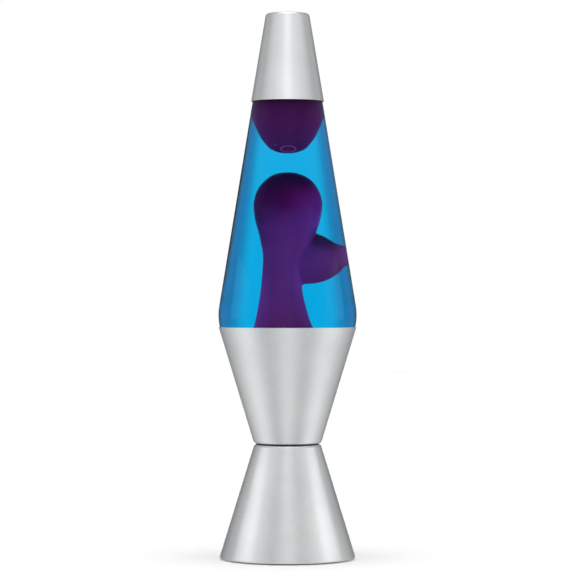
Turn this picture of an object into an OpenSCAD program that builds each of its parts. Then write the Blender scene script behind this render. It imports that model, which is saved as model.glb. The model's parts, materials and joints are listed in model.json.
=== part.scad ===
// Wax-motion lamp: a conical glass globe of liquid and wax standing in an hourglass base of two spun cones,
// with a small lamp bulb under the globe and a loose conical cap over its crimped neck.
// Millimetres, +Z up. The origin is on the desk, in the middle of the four feet.

/* [Overall] */
// Height of the whole lamp, feet included
lamp_h = 368.3; // [366:0.1:372]
// Wall of the spun aluminium cones and cap
sheet = 0.5; // [0.4:0.05:0.55]

/* [Foot cone] */
// Radius of the foot cone at its lower edge
foot_r = 46.3; // [45:0.1:48]
// How far the rubber feet hold the foot cone off the desk
foot_gap = 0.8; // [0.6:0.1:1.2]
// Height of the foot cone's flat top
foot_top_z = 77.4; // [77:0.1:78]
// Radius of both cones at the waist, before their corners are rounded
waist_r = 22.7; // [22.4:0.1:24]

/* [Cup cone] */
// Height of the cup cone's rim
rim_z = 156.5; // [156:0.1:158]
// Radius of the cup cone's rim
rim_r = 46.5; // [46.4:0.1:48]
// Thickness of the dark ring between the two cones
waist_gap = 0.8; // [0.6:0.1:1]

/* [Globe] */
// Wall thickness of the glass
glass_wall = 3; // [2.5:0.1:3.2]
// Height of the ring that the globe would stand on
globe_z = 140.5; // [140:0.1:141]
// Radius of the neck
neck_r = 12.4; // [12:0.1:12.6]
// Height of the liquid's surface
liquid_z = 329; // [326:1:331]

/* [Cap] */
// Height of the cap's lower edge
cap_z = 308.9; // [308:0.1:310]
// Radius of the cap at its lower edge
cap_r = 24.6; // [24.5:0.1:25]
// Radius of the cap at its top, before the corner is rounded
cap_top_r = 14.6; // [14.4:0.1:15.4]

/* [Bulb and lamp holder] */
// Height of the bulb's lowest point, its centre contact
bulb_z = 71.5; // [71:0.1:72]
// Length of the bulb over everything
bulb_h = 58.7; // [57:0.1:59]
// Largest radius of the bulb's glass
bulb_r = 17.4; // [16:0.1:17.5]
// Pitch of the lamp screw: nine turns to the inch
screw_pitch = 2.822; // [2.5:0.001:3]

/* [Wiring] */
// Radius of the cord grommet's bore
cord_bore_r = 3.3; // [3:0.1:3.6]

/* [Hidden] */
$fn = 96;

fit = 0.1;             // gap between pieces that touch
cup_z = foot_top_z + waist_gap;
flange_r = 15;         // hole through both cones' flanges, for the lamp holder
screw_circle_r = 18.2; // circle of the waist screws
screw_r = 1.5;         // M3
strap = 1;             // thickness of the steel strap that holds the lamp holder
strap_w = 15;
strap_z = 60.2;        // underside of that strap
strap_x = 14;          // inner faces of its legs
holder_r = 12.5;
holder_top_z = 88;
holder_floor_z = 68.5; // inside floor of the lamp holder
lip_z = 351;           // mouth of the globe
coil_ring_r = 33.6;
coil_z = 147.5;
coil_r = 3;
coil_wire_r = 0.45;
lead_x = 2.4;
lead_r = 0.9;
cover_z = foot_gap;
cover_t = 1.6;
cover_r = 41.8;
foot_pad_r = 5;
foot_circle_r = 34;
bulb_top_z = bulb_z + bulb_h;
grommet_z = 12;        // height of the grommet on the foot cone's wall

// ---------- outlines ----------

function unit(v) = v / norm(v);
function turned_left(v) = [-v[1], v[0]];
function side(a, b, c) = cross(b - a, c - b) > 0 ? 1 : -1;

// The points that round the corner b between a and c.
function corner(a, b, c, r) =
    let (u = unit(a - b), v = unit(c - b), half = acos(u * v) / 2)
    let (centre = b + unit(u + v) * r / sin(half), from = b + u * r / tan(half) - centre)
    let (start = atan2(from[1], from[0]), sweep = side(a, b, c) * (180 - 2 * half))
    let (steps = max(3, ceil(abs(sweep) / 6)))
    [for (i = [0:steps]) centre + r * [cos(start + sweep * i / steps), sin(start + sweep * i / steps)]];

// A path through corners written as [radius, height] or, rounded, as [radius, height, rounding].
function rounded(corners) =
    let (p = [for (c = corners) [c[0], c[1]]], last = len(p) - 1)
    [for (i = [0:last])
        each (i == 0 || i == last || len(corners[i]) < 3) ? [p[i]] : corner(p[i - 1], p[i], p[i + 1], corners[i][2])];

// The same path moved to its left by t.
function beside(path, t) =
    let (last = len(path) - 1)
    [for (i = [0:last])
        let (before = turned_left(unit(path[max(i, 1)] - path[max(i, 1) - 1])))
        let (after = turned_left(unit(path[min(i, last - 1) + 1] - path[min(i, last - 1)])))
        let (mitre = unit(before + after))
        path[i] + t * mitre / (mitre * before)];

function reversed(path) = [for (i = [len(path) - 1:-1:0]) path[i]];

// A spun or blown wall: the area between a path and the one beside it.
module turned_wall(path, t) {
    rotate_extrude() polygon(concat(path, reversed(beside(path, t))));
}

module turned(points) {
    rotate_extrude() polygon(points);
}

module tube(outer, inner, z0, z1) {
    turned([[inner, z0], [outer, z0], [outer, z1], [inner, z1]]);
}

// A turning whose rings [radius, height, ripple] swell and shrink round the axis: a screw thread or a crimped skirt.
// Its rings either run round into each other, as a sleeve, or are closed flat at both ends.
module rippled(rings, waves, degrees_per_mm, steps, sleeve) {
    n = len(rings);
    points = [for (k = rings, j = [0:steps - 1])
        let (a = 360 * j / steps, r = k[0] + k[2] * cos(waves * a - degrees_per_mm * k[1]))
        [r * cos(a), r * sin(a), k[1]]];
    walls = [for (i = [0:sleeve ? n - 1 : n - 2], j = [0:steps - 1], half = [0, 1])
        let (a = i * steps, b = (i + 1) % n * steps, next = (j + 1) % steps)
        half == 0 ? [a + j, b + j, b + next] : [a + j, b + next, a + next]];
    ends = sleeve ? [] : [[for (j = [0:steps - 1]) j], [for (j = [steps - 1:-1:0]) (n - 1) * steps + j]];
    polyhedron(points, concat(walls, ends), convexity = 10);
}

// A round wire of radius r that follows a path of [y, z] points in the plane at x.
module planar_wire(path, x, r, sides = 8) {
    last = len(path) - 1;
    points = [for (i = [0:last], j = [0:sides - 1])
        let (t = unit(path[min(i + 1, last)] - path[max(i - 1, 0)]), a = 360 * j / sides)
        [x + r * cos(a), path[i][0] - r * sin(a) * t[1], path[i][1] + r * sin(a) * t[0]]];
    walls = [for (i = [0:last - 1], j = [0:sides - 1], half = [0, 1])
        let (a = i * sides, b = a + sides, next = (j + 1) % sides)
        half == 0 ? [a + j, b + next, b + j] : [a + j, a + next, b + next]];
    ends = [[for (j = [sides - 1:-1:0]) j], [for (j = [0:sides - 1]) last * sides + j]];
    polyhedron(points, concat(walls, ends), convexity = 10);
}

module around(count, r, start = 0) {
    for (i = [0:count - 1])
        rotate([0, 0, start + 360 * i / count]) translate([r, 0, 0]) children();
}

module hexagon(across_flats) {
    circle(r = across_flats / sqrt(3), $fn = 6);
}

// ---------- base ----------

foot_path = rounded([
    [cover_r + 0.4, foot_gap],
    [foot_r, foot_gap, 0.9],
    [waist_r, foot_top_z, 1.2],
    [flange_r, foot_top_z]
]);

cup_path = rounded([
    [flange_r, cup_z],
    [waist_r, cup_z, 2],
    [rim_r, rim_z]
]);

foot_lean = atan((foot_r - waist_r) / (foot_top_z - foot_gap));

// Puts +Z along the outward normal of the foot cone's wall, at the cord's inlet at the back.
module at_cord_inlet() {
    wall_r = foot_r - (grommet_z - foot_gap) * tan(foot_lean);
    translate([0, wall_r, grommet_z]) rotate([-90 + foot_lean, 0, 0]) children();
}

module waist_screw_holes() {
    around(4, screw_circle_r) cylinder(r = screw_r + fit, h = 12, center = true);
}

module foot_shell() {
    color("silver") difference() {
        turned_wall(foot_path, sheet);
        translate([0, 0, foot_top_z]) waist_screw_holes();
        at_cord_inlet() cylinder(r = 5, h = 6, center = true);
    }
}

module cup_shell() {
    color("silver") difference() {
        turned_wall(cup_path, sheet);
        translate([0, 0, cup_z]) waist_screw_holes();
    }
}

module waist_ring() {
    color("black") difference() {
        tube(waist_r - 1.5, flange_r, foot_top_z, cup_z);
        translate([0, 0, cup_z]) waist_screw_holes();
    }
}

module waist_screws() {
    head_z = cup_z + sheet;
    color("gainsboro") around(4, screw_circle_r) difference() {
        union() {
            translate([0, 0, foot_top_z - 5.4]) cylinder(r = screw_r, h = head_z - foot_top_z + 5.4 + 0.1);
            turned([[0, head_z], [2.45, head_z], [2.45, head_z + 1.1], [1.9, head_z + 1.7], [0, head_z + 1.9]]);
        }
        for (a = [0, 90])
            translate([0, 0, head_z + 1.6]) rotate([0, 0, a]) cube([3, 0.6, 1.4], center = true);
    }
}

// Two nuts pull the strap's ears up, and the two between them bear on the flange itself.
module waist_nuts() {
    color("gainsboro") for (i = [0:3])
        rotate([0, 0, 90 * i])
            translate([screw_circle_r, 0, foot_top_z - sheet - (i % 2 == 0 ? strap : 0) - 2.4])
                linear_extrude(2.4) difference() {
                    hexagon(5.5);
                    circle(r = screw_r + 0.05);
                }
}

module bottom_cover() {
    lug_z = foot_gap + sheet + 0.3;
    color([0.12, 0.12, 0.13]) difference() {
        union() {
            translate([0, 0, cover_z]) cylinder(r = cover_r, h = cover_t);
            tube(30, 28.4, cover_z + cover_t - 0.1, cover_z + cover_t + 1.4);
            for (i = [0:5])
                rotate([0, 0, 60 * i + 24])
                    rotate_extrude(angle = 12)
                        polygon([[40.5, lug_z], [43.4, lug_z], [43.4, lug_z + 0.6], [42.2, lug_z + 1.6], [40.5, lug_z + 1.6]]);
        }
        around(4, foot_circle_r, 45)
            translate([0, 0, cover_z - 1]) cylinder(r = foot_pad_r + fit, h = 1.8);
        around(10, 17) translate([0, 0, cover_z]) cube([12, 2.4, 8], center = true);
    }
}

module rubber_feet() {
    color([0.08, 0.08, 0.08]) around(4, foot_circle_r, 45)
        turned(rounded([[0, 0], [foot_pad_r, 0, 0.4], [foot_pad_r, cover_z + 0.8], [0, cover_z + 0.8]]));
}

// A bushing with a collar on each side of the wall. The inner collar stands off a little, because the wall curves.
module cord_grommet() {
    color([0.1, 0.1, 0.1]) at_cord_inlet()
        turned(rounded([
            [cord_bore_r, -4.6], [5.2, -4.6, 0.5], [6.2, -1.3], [4.9, -1.3],
            [4.9, 0.05], [6.6, 0.05], [6.6, 1, 0.4], [5, 2.8, 0.6], [cord_bore_r, 2.8], [cord_bore_r, -4.6]
        ]));
}

// ---------- lamp holder ----------

module socket_bracket() {
    top = foot_top_z - sheet;
    leg = strap_x + strap;
    ear = screw_circle_r + 2.8;
    color("lightsteelblue") difference() {
        translate([0, strap_w / 2, 0]) rotate([90, 0, 0]) linear_extrude(strap_w)
            polygon([
                [-leg, strap_z], [leg, strap_z], [leg, top - strap], [ear, top - strap], [ear, top],
                [strap_x, top], [strap_x, strap_z + strap], [-strap_x, strap_z + strap], [-strap_x, top],
                [-ear, top], [-ear, top - strap], [-leg, top - strap]
            ]);
        around(2, screw_circle_r) translate([0, 0, top]) cylinder(r = screw_r + fit, h = 6, center = true);
        translate([0, 0, strap_z]) cylinder(r = 5.2, h = 6, center = true);
    }
}

module socket_nipple() {
    color("goldenrod") tube(5, 3.8, strap_z - 7.4, strap_z + 4.4);
}

module nipple_washer() {
    color("gainsboro") difference() {
        tube(8.4, 5.1, strap_z - 1, strap_z);
        translate([0, 7, strap_z - 0.5]) cube([0.8, 5, 2], center = true);
    }
}

module nipple_nut() {
    color("goldenrod") translate([0, 0, strap_z - 4]) linear_extrude(3) difference() {
        hexagon(14);
        circle(r = 5.05);
    }
}

module socket_body() {
    bottom = strap_z + strap;
    color("floralwhite") difference() {
        turned(rounded([
            [5.1, bottom], [10.5, bottom, 1], [10.5, bottom + 6, 1], [holder_r, bottom + 8, 1],
            [holder_r, holder_top_z, 1.2], [9.3, holder_top_z, 0.6], [9.3, holder_floor_z],
            [0, holder_floor_z], [0, holder_floor_z - 2.6], [7.8, holder_floor_z - 2.6],
            [7.8, holder_floor_z - 4.6], [5.1, holder_floor_z - 4.6], [5.1, bottom]
        ]));
        for (x = [-lead_x, lead_x])
            translate([x, 0, holder_floor_z - 4]) cylinder(r = lead_r + 0.2, h = 5);
        translate([0, -5.6, holder_floor_z - 4]) cylinder(r = 1, h = 5);
    }
}

thread_r = 8;      // middle radius of the bulb's rolled thread
thread_ripple = 0.28;
thread_gap = 0.25; // between the bulb's thread and the holder's

function thread_rings(r, z0, z1, ripple) =
    let (steps = ceil((z1 - z0) / screw_pitch * 10))
    [for (i = [0:steps]) [r, z0 + (z1 - z0) * i / steps, ripple]];

module socket_screw_shell() {
    z0 = 77.5;
    z1 = 87;
    inner = thread_rings(thread_r + thread_gap, z0, z1, thread_ripple);
    outer = thread_rings(thread_r + thread_gap + 0.4, z0, z1, thread_ripple);
    color("goldenrod") rippled(concat(outer, reversed(inner)), 1, 360 / screw_pitch, 32, true);
}

// A brass tongue that springs up to the bulb's centre contact.
module socket_centre_contact() {
    z = holder_floor_z;
    color("goldenrod") difference() {
        translate([2, 0, 0]) rotate([90, 0, -90]) linear_extrude(4)
            polygon([
                [7.4, z], [7.4, z + 0.4], [3.6, z + 0.4], [1.6, bulb_z - fit], [-1.6, bulb_z - fit],
                [-3, bulb_z - 1], [-2.7, bulb_z - 1.2], [-1.4, bulb_z - fit - 0.4], [1.4, bulb_z - fit - 0.4],
                [3.4, z]
            ]);
        translate([0, -5.6, z]) cylinder(r = 1, h = 3, center = true);
    }
}

module contact_rivet() {
    color("goldenrod") translate([0, -5.6, 0]) turned([
        [0, holder_floor_z - 3.4], [1.6, holder_floor_z - 3.4], [1.6, holder_floor_z - 2.7],
        [0.95, holder_floor_z - 2.7], [0.95, holder_floor_z + 0.45], [1.5, holder_floor_z + 0.45],
        [1.2, holder_floor_z + 1], [0, holder_floor_z + 1]
    ]);
}

// ---------- wiring inside the foot ----------

crimp_y = 23;
crimp_z = cover_z + cover_t + 4.4;
lead_path = rounded([[0, holder_floor_z - 0.5], [0, crimp_z, 12], [crimp_y + 4, crimp_z]]);

module live_lead() {
    color("black") planar_wire(lead_path, lead_x, lead_r);
}

module neutral_lead() {
    color("white") planar_wire(lead_path, -lead_x, lead_r);
}

module crimp_connectors() {
    color("ivory") for (x = [-2.75, 2.75])
        translate([x, crimp_y, crimp_z]) rotate([-90, 0, 0])
            turned(rounded([[1.9, 0], [2.5, 0, 0.25], [2.5, 9, 0.6], [1.8, 11.5, 0.8], [0, 11.5], [0, 6], [1.9, 6]]));
}

// ---------- globe ----------

taper = 0.1635; // how much the glass narrows for each millimetre up
function glass_r(z) = 46.2 - taper * (z - 170.5);

// The outside of the glass: a domed bottom, the heel in the cup, the belly at the rim, the long taper, the shoulder and the neck.
glass_path = rounded([
    [0, globe_z + 5], [13, globe_z + 5, 16], [27, globe_z, 7], [38.3, globe_z, 11.4], [48.28, globe_z + 17.35, 36],
    [glass_r(324), 324, 7], [neck_r, 331, 5], [neck_r, lip_z]
]);

module globe_glass() {
    color([0.8, 0.9, 1, 0.3]) {
        turned_wall(glass_path, glass_wall);
        turned(rounded([[neck_r - 1, 347.6], [13.1, 347.8, 0.3], [13.1, lip_z, 0.6], [neck_r - 1, lip_z]]));
    }
}

// What the globe holds, up to a height and standing off the glass by a gap.
module inside_globe(gap, top) {
    rotate_extrude() intersection() {
        polygon(concat(beside(glass_path, glass_wall + gap), [[0, lip_z]]));
        translate([0, globe_z]) square([60, top - globe_z]);
    }
}

column_outline = rounded([
    [0, 149], [26, 149, 2], [15.5, 157, 7], [9.6, 190, 30], [17.5, 226, 12], [17.5, 250, 13], [6, 261, 8], [0, 261]
]);

// The rising column of wax, with the arm that it sends to the glass. Grown by g, it is the room that the liquid leaves.
module column_shape(g) {
    turned(g == 0 ? column_outline : concat([[0, 148]], beside(column_outline, -g), [[0, 261 + g]]));
    translate([2, 2, 201]) rotate([0, 83, 12]) {
        cylinder(r1 = 15 + g, r2 = 8.5 + g, h = 24);
        sphere(r = 15 + g);
        translate([0, 0, 24]) sphere(r = 8.5 + g);
    }
}

module wax_column() {
    color([0.3, 0.1, 0.45]) column_shape(0);
}

dome_outline = rounded([
    [0, 274], [9, 274, 8], [15, 286, 14], [19, 299, 14], [19.4, 314, 6], [14, 321, 6], [0, 321]
]);

module dome_shape(g) {
    turned(g == 0 ? dome_outline : concat([[0, 274 - g]], beside(dome_outline, -g), [[0, 321 + g]]));
}

module wax_dome() {
    color([0.3, 0.1, 0.45]) dome_shape(0);
}

module liquid() {
    color([0.1, 0.6, 0.9, 0.5]) difference() {
        inside_globe(fit, liquid_z);
        column_shape(0.3);
        dome_shape(0.3);
        turned([for (a = [0:10:350]) [coil_ring_r + (coil_r + 0.8) * cos(a), coil_z + (coil_r + 0.8) * sin(a)]]);
    }
}

// A spring of steel wire bent into a closed ring, which lies in the heel of the globe.
module heat_coil() {
    turns = 40;
    steps = turns * 8;
    sides = 6;
    points = [for (i = [0:steps - 1], j = [0:sides - 1])
        let (round_ring = 360 * i / steps, round_coil = round_ring * turns, a = 360 * j / sides)
        let (out = coil_ring_r + (coil_r + coil_wire_r * cos(a)) * cos(round_coil))
        let (lead = coil_wire_r * sin(a))
        [
            out * cos(round_ring) - lead * sin(round_ring),
            out * sin(round_ring) + lead * cos(round_ring),
            coil_z + (coil_r + coil_wire_r * cos(a)) * sin(round_coil)
        ]];
    faces = [for (i = [0:steps - 1], j = [0:sides - 1], half = [0, 1])
        let (a = i * sides, b = (i + 1) % steps * sides, next = (j + 1) % sides)
        half == 0 ? [a + j, b + j, b + next] : [a + j, b + next, a + next]];
    color("gray") polyhedron(points, faces, convexity = 10);
}

// The steel closure: a flat top and a skirt pressed into twenty-one flutes under the glass lip.
module crown_cap() {
    plate = 0.4;
    top = lip_z + 0.9;
    drop = 5.4;
    outer = [for (t = [0:0.2:1]) [13.8 + 0.3 * t, top - 0.5 - drop * t, 0.6 * t]];
    inner = [for (ring = reversed(outer)) [ring[0] - plate, ring[1] - 0.01, ring[2]]];
    color("silver") rippled(
        concat([[13, top, 0]], outer, inner, [[12.9, top - plate, 0]]), 21, 0, 126, false);
}

module crown_liner() {
    color("white") translate([0, 0, lip_z + 0.02]) cylinder(r = 12.8, h = 0.44);
}

// ---------- cap ----------

cap_path = rounded([
    [cap_r, cap_z], [cap_top_r, lamp_h, 2.4], [0, lamp_h]
]);

module top_cap() {
    color("silver") turned_wall(cap_path, sheet);
}

// ---------- bulb ----------

module bulb_contact_tip() {
    color("silver") turned(rounded([[0, bulb_z], [2.4, bulb_z, 0.8], [2.4, bulb_z + 1.1], [0, bulb_z + 1.1]]));
}

module bulb_insulator() {
    z = bulb_z + 1.15;
    color([0.1, 0.1, 0.12]) turned([[0, z], [2.8, z], [6.9, z + 3], [6.9, z + 4.6], [0, z + 4.6]]);
}

module bulb_screw_shell() {
    z0 = bulb_z + 4.6;
    z1 = z0 + 13;
    outer = concat(
        [[7.3, z0, 0]],
        thread_rings(thread_r, z0 + 0.8, z1 - 1.2, thread_ripple),
        [[8.3, z1, 0], [8.3, z1 + 2.4, 0]]
    );
    inner = [[8, z1 + 2.4, 0], [8, z1 + 0.2, 0], [7.3, z1 - 0.4, 0], [7.1, z0 + 0.9, 0], [7, z0, 0]];
    color("goldenrod") rippled(concat(outer, inner), 1, 360 / screw_pitch, 32, true);
}

module bulb_glass() {
    color([1, 1, 1, 0.3]) turned_wall(rounded([
        [6.6, bulb_z + 11], [6.6, bulb_z + 19, 6], [bulb_r, bulb_z + 34, 12],
        [bulb_r, bulb_top_z, bulb_r - 0.1], [0, bulb_top_z]
    ]), 0.6);
}

// The glass mount inside the bulb: a flare at the neck and a stem that holds the wires.
module bulb_stem() {
    z = bulb_z + 11;
    color([0.85, 0.95, 1, 0.5]) turned(rounded([
        [0, z], [5.8, z], [5.8, z + 0.8, 0.3], [2.4, z + 4, 2], [2.2, z + 15, 1.2], [0, z + 17]
    ]));
}

filament_z = bulb_z + 39;
filament_half = 7;
lead_foot_z = bulb_z + 16;

// Each wire stands on the stem's shoulder and leans out to its end of the filament.
module bulb_lead_wires() {
    wire_r = 0.3;
    foot_x = 2.8;
    rise = filament_z - lead_foot_z;
    lean = atan((filament_half - foot_x) / rise);
    color("silver") for (s = [-1, 1])
        translate([s * foot_x, 0, lead_foot_z]) rotate([0, s * lean, 0]) {
            sphere(r = wire_r);
            cylinder(r = wire_r, h = rise / cos(lean));
        }
}

module bulb_filament() {
    color("dimgray") translate([0, 0, filament_z + 0.5]) rotate([0, 90, 0])
        cylinder(r = 0.4, h = 2 * filament_half + 1, center = true);
}

// ---------- one line for each node ----------

foot_shell();
cup_shell();
waist_ring();
waist_screws();
waist_nuts();
bottom_cover();
rubber_feet();
cord_grommet();
socket_bracket();
socket_nipple();
nipple_washer();
nipple_nut();
socket_body();
socket_screw_shell();
socket_centre_contact();
contact_rivet();
live_lead();
neutral_lead();
crimp_connectors();
globe_glass();
liquid();
wax_column();
wax_dome();
heat_coil();
crown_cap();
crown_liner();
top_cap();
bulb_contact_tip();
bulb_screw_shell();
bulb_insulator();
bulb_glass();
bulb_stem();
bulb_lead_wires();
bulb_filament();
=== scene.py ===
# %% [markdown]
# # A wax-motion lamp
# The real lamp is a waisted base of two spun aluminium cones, a tapered bottle of blue liquid and wax
# that stands in the upper cone, and a loose cone over the bottle's neck. Inside the base a small bulb
# warms the bottle from below. The frame gives every part's place. This lesson gives each part its
# surface, and builds again, as finer meshes, the parts whose plain solids would not look real.

# %% Load the frame
import json
import math

import bmesh
import bpy
from mathutils import Matrix, Vector


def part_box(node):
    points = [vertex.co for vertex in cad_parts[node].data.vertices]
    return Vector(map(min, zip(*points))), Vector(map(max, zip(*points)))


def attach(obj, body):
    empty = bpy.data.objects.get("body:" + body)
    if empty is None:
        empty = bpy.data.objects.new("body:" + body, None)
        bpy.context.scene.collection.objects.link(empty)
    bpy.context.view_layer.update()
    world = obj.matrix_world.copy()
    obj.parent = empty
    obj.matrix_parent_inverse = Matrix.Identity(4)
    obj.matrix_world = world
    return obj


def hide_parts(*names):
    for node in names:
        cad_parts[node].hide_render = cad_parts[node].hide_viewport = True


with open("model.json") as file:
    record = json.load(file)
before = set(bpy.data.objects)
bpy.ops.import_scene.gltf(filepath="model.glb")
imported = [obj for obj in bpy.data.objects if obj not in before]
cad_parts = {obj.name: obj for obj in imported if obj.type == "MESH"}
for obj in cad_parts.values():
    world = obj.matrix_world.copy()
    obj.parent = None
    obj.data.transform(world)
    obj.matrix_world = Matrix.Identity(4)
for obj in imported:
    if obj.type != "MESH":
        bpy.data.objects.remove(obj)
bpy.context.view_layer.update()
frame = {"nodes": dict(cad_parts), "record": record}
nodes = frame["nodes"]
MM = 0.001

# %% [markdown]
# ## Camera
# A long lens far away shows the cones almost as a side drawing would. The camera stands level at about
# half the lamp's height, a hair to the side of its axis. A shorter lens close by would open up the
# ellipses of the rims.

# %% Camera
LENS = 168
DISTANCE = 1.816
EYE_HEIGHT = 0.1829
EYE_SIDE = 0.0003

camera_data = bpy.data.cameras.new("camera")
camera_data.lens = LENS
camera = bpy.data.objects.new("camera", camera_data)
camera.location = (EYE_SIDE, -DISTANCE, EYE_HEIGHT)
camera.rotation_euler = (math.radians(90), 0, 0)
bpy.context.scene.collection.objects.link(camera)
bpy.context.scene.camera = camera
print("camera:", round(math.degrees(camera_data.angle), 1), "degrees wide")

# %% [markdown]
# ## Colours and nodes
# Colours are written as sRGB hex values, the way a paint chart or a picker gives them, and turned to the
# linear values that a shader needs in one place. One function adds a node, whatever its kind, with its
# settings, its sockets' values and what feeds them. Every material starts from Blender's all-round shader
# and from the part's own coordinates, so that a pattern keeps its size and stays on the part when the
# part moves.


# %% Colour and node helpers
def linear(hex_colour):
    """An sRGB hex colour as linear red, green, blue and alpha."""
    channels = []
    for start in (1, 3, 5):
        c = int(hex_colour[start:start + 2], 16) / 255
        channels.append(c / 12.92 if c <= 0.04045 else ((c + 0.055) / 1.055) ** 2.4)
    return (*channels, 1.0)


def add(tree, kind, values=None, links=None, stops=None, **settings):
    """A new node of a kind, with its settings, its sockets' values and links, and a ramp's stops.

    A stop is a place from 0 to 1 and a colour, which is an sRGB hex value or one number for a linear grey.
    """
    node = tree.nodes.new(kind)
    for name, value in settings.items():
        setattr(node, name, value)
    for name, value in (values or {}).items():
        node.inputs[name].default_value = value
    for name, source in (links or {}).items():
        tree.links.new(source, node.inputs[name])
    if stops:
        while len(node.color_ramp.elements) < len(stops):
            node.color_ramp.elements.new(1.0)
        for element, (place, colour) in zip(node.color_ramp.elements, stops):
            element.position = place
            element.color = linear(colour) if isinstance(colour, str) else (*[colour] * 3, 1.0)
    return node


def new_material(name):
    """A new material, its nodes, its shader, and a socket with the place on the part in metres."""
    made = bpy.data.materials.new(name)
    made.use_nodes = True
    tree = made.node_tree
    return made, tree, tree.nodes["Principled BSDF"], add(tree, "ShaderNodeTexCoord").outputs["Object"]


# A mix node has a set of sockets for each kind of value, so its vector ones are picked by number.
A_VECTOR = 4
B_VECTOR = 5
OUT_VECTOR = 1

# %% [markdown]
# ## Light and floor
# Satin metal shows its surroundings, so the room is what makes it look like metal. A studio has soft
# light at each side and dark back corners, so that a cone gets two broad bright bands, a dimmer middle
# and dark edges. Here the world itself is that room. The brightness of its lower half, which the upper
# cone leans down to, and of its upper half are two ramps round the lamp, from the front (0) to the back
# (1), the same on the left and the right. A bright ceiling lights the floor. Heights in the room run from
# -1, straight down, to 1, straight up.

# %% World values
BRIGHTEST = 1.5
LOWER_HALF = (
    (0.00, 0.79), (0.08, 0.69), (0.15, 0.56), (0.22, 0.51), (0.30, 0.62), (0.38, 0.79), (0.46, 0.87),
    (0.54, 0.80),
    (0.62, 0.65), (0.70, 0.53), (0.78, 0.44), (0.86, 0.34), (1.00, 0.30),
)
UPPER_HALF = (
    (0.00, 0.79), (0.08, 0.61), (0.15, 0.47), (0.22, 0.56), (0.30, 0.74), (0.38, 0.66), (0.46, 0.56),
    (0.54, 0.40),
    (0.62, 0.42), (0.70, 0.46), (0.78, 0.32), (0.86, 0.20), (1.00, 0.20),
)
BACKDROP = (
    (0.62, "#000000"), (0.72, "#b69cb1"), (0.80, "#bc98ac"), (0.84, "#bcacb8"), (0.865, "#c6c6c8"),
    (0.89, "#d5d5d5"),
)
HALVES_MEET = (-0.30, 0.0)
CEILING = 7.4
SHINY_CEILING = 1.7
CEILING_EDGE = (0.88, 0.98)
GLINT = 0.4

# %% [markdown]
# Some rays see the room differently. The camera sees plain white behind the lamp. A white backdrop, whose
# sides fade through violet, shines through the bottle, but the metal doesn't reflect it, so that the
# cones' edges stay dark. The metal also sees a much dimmer ceiling than the floor does, or its rounded
# edges would burn out. A sharp reflection in clear glass or water sees a dimmer room, as if black cards
# kept the lights off the bottle, so that no pale veil lies over what the bottle holds.

# %% World
world = bpy.data.worlds.new("studio")
bpy.context.scene.world = world
world.use_nodes = True
tree = world.node_tree
background = tree.nodes["Background"]
background.inputs["Strength"].default_value = BRIGHTEST
way = add(tree, "ShaderNodeTexCoord")
axes = add(tree, "ShaderNodeSeparateXYZ", links={"Vector": way.outputs["Generated"]})
aside = add(tree, "ShaderNodeMath", operation="ABSOLUTE", links={0: axes.outputs["X"]})
ahead = add(tree, "ShaderNodeMath", {1: -1.0}, operation="MULTIPLY", links={0: axes.outputs["Y"]})
turn = add(tree, "ShaderNodeMath", operation="ARCTAN2", links={0: aside.outputs[0], 1: ahead.outputs[0]})
round_room = add(tree, "ShaderNodeMath", {1: math.pi}, operation="DIVIDE", links={0: turn.outputs[0]})
halves = []
for half in (LOWER_HALF, UPPER_HALF):
    stops = [(place, brightness / BRIGHTEST) for place, brightness in half]
    ramp = add(tree, "ShaderNodeValToRGB", links={"Fac": round_room.outputs[0]}, stops=stops)
    halves.append(ramp.outputs["Color"])
room = halves[0]
rays = add(tree, "ShaderNodeLightPath")
ceiling = add(tree, "ShaderNodeMapRange",
              {"To Min": CEILING / BRIGHTEST, "To Max": SHINY_CEILING / BRIGHTEST},
              {"Value": rays.outputs["Is Reflection Ray"]})
for (start, end), upper in ((HALVES_MEET, halves[1]), (CEILING_EDGE, ceiling.outputs["Result"])):
    share = add(tree, "ShaderNodeMapRange", {"From Min": start, "From Max": end},
                {"Value": axes.outputs["Z"]})
    mixed = add(tree, "ShaderNodeMix", data_type="VECTOR",
                links={0: share.outputs["Result"], A_VECTOR: room, B_VECTOR: upper})
    room = mixed.outputs[OUT_VECTOR]

backdrop = add(tree, "ShaderNodeValToRGB", links={"Fac": round_room.outputs[0]}, stops=BACKDROP)
lighter = add(tree, "ShaderNodeVectorMath", links={0: room, 1: backdrop.outputs["Color"]},
              operation="MAXIMUM")
with_backdrop = add(tree, "ShaderNodeMix", data_type="VECTOR",
                    links={0: rays.outputs["Is Reflection Ray"], A_VECTOR: lighter.outputs[0],
                           B_VECTOR: room})
room = with_backdrop.outputs[OUT_VECTOR]
sharp = add(tree, "ShaderNodeMath", operation="MULTIPLY",
            links={0: rays.outputs["Is Singular Ray"], 1: rays.outputs["Is Reflection Ray"]})
dim = add(tree, "ShaderNodeVectorMath", {"Scale": GLINT}, {0: room}, operation="SCALE")
carded = add(tree, "ShaderNodeMix", data_type="VECTOR",
             links={0: sharp.outputs[0], A_VECTOR: room, B_VECTOR: dim.outputs[0]})
seen = add(tree, "ShaderNodeMix", {B_VECTOR: [1 / BRIGHTEST] * 3}, data_type="VECTOR",
           links={0: rays.outputs["Is Camera Ray"], A_VECTOR: carded.outputs[OUT_VECTOR]})
tree.links.new(seen.outputs[OUT_VECTOR], background.inputs["Color"])
bpy.context.scene.view_settings.view_transform = "Standard"
print("world: room of", len(LOWER_HALF), "stops round the lamp, ceiling at", CEILING)

# %% [markdown]
# Three soft panels stand close to the lamp, so each one reaches only the part that it is meant for. One
# hangs in front of the cap and brightens its middle. The other two stand at the sides and give the foot
# its bright bands. Neither the camera nor a ray through glass sees them. A panel is set by how bright it
# looks, and its power follows from its size.


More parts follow.
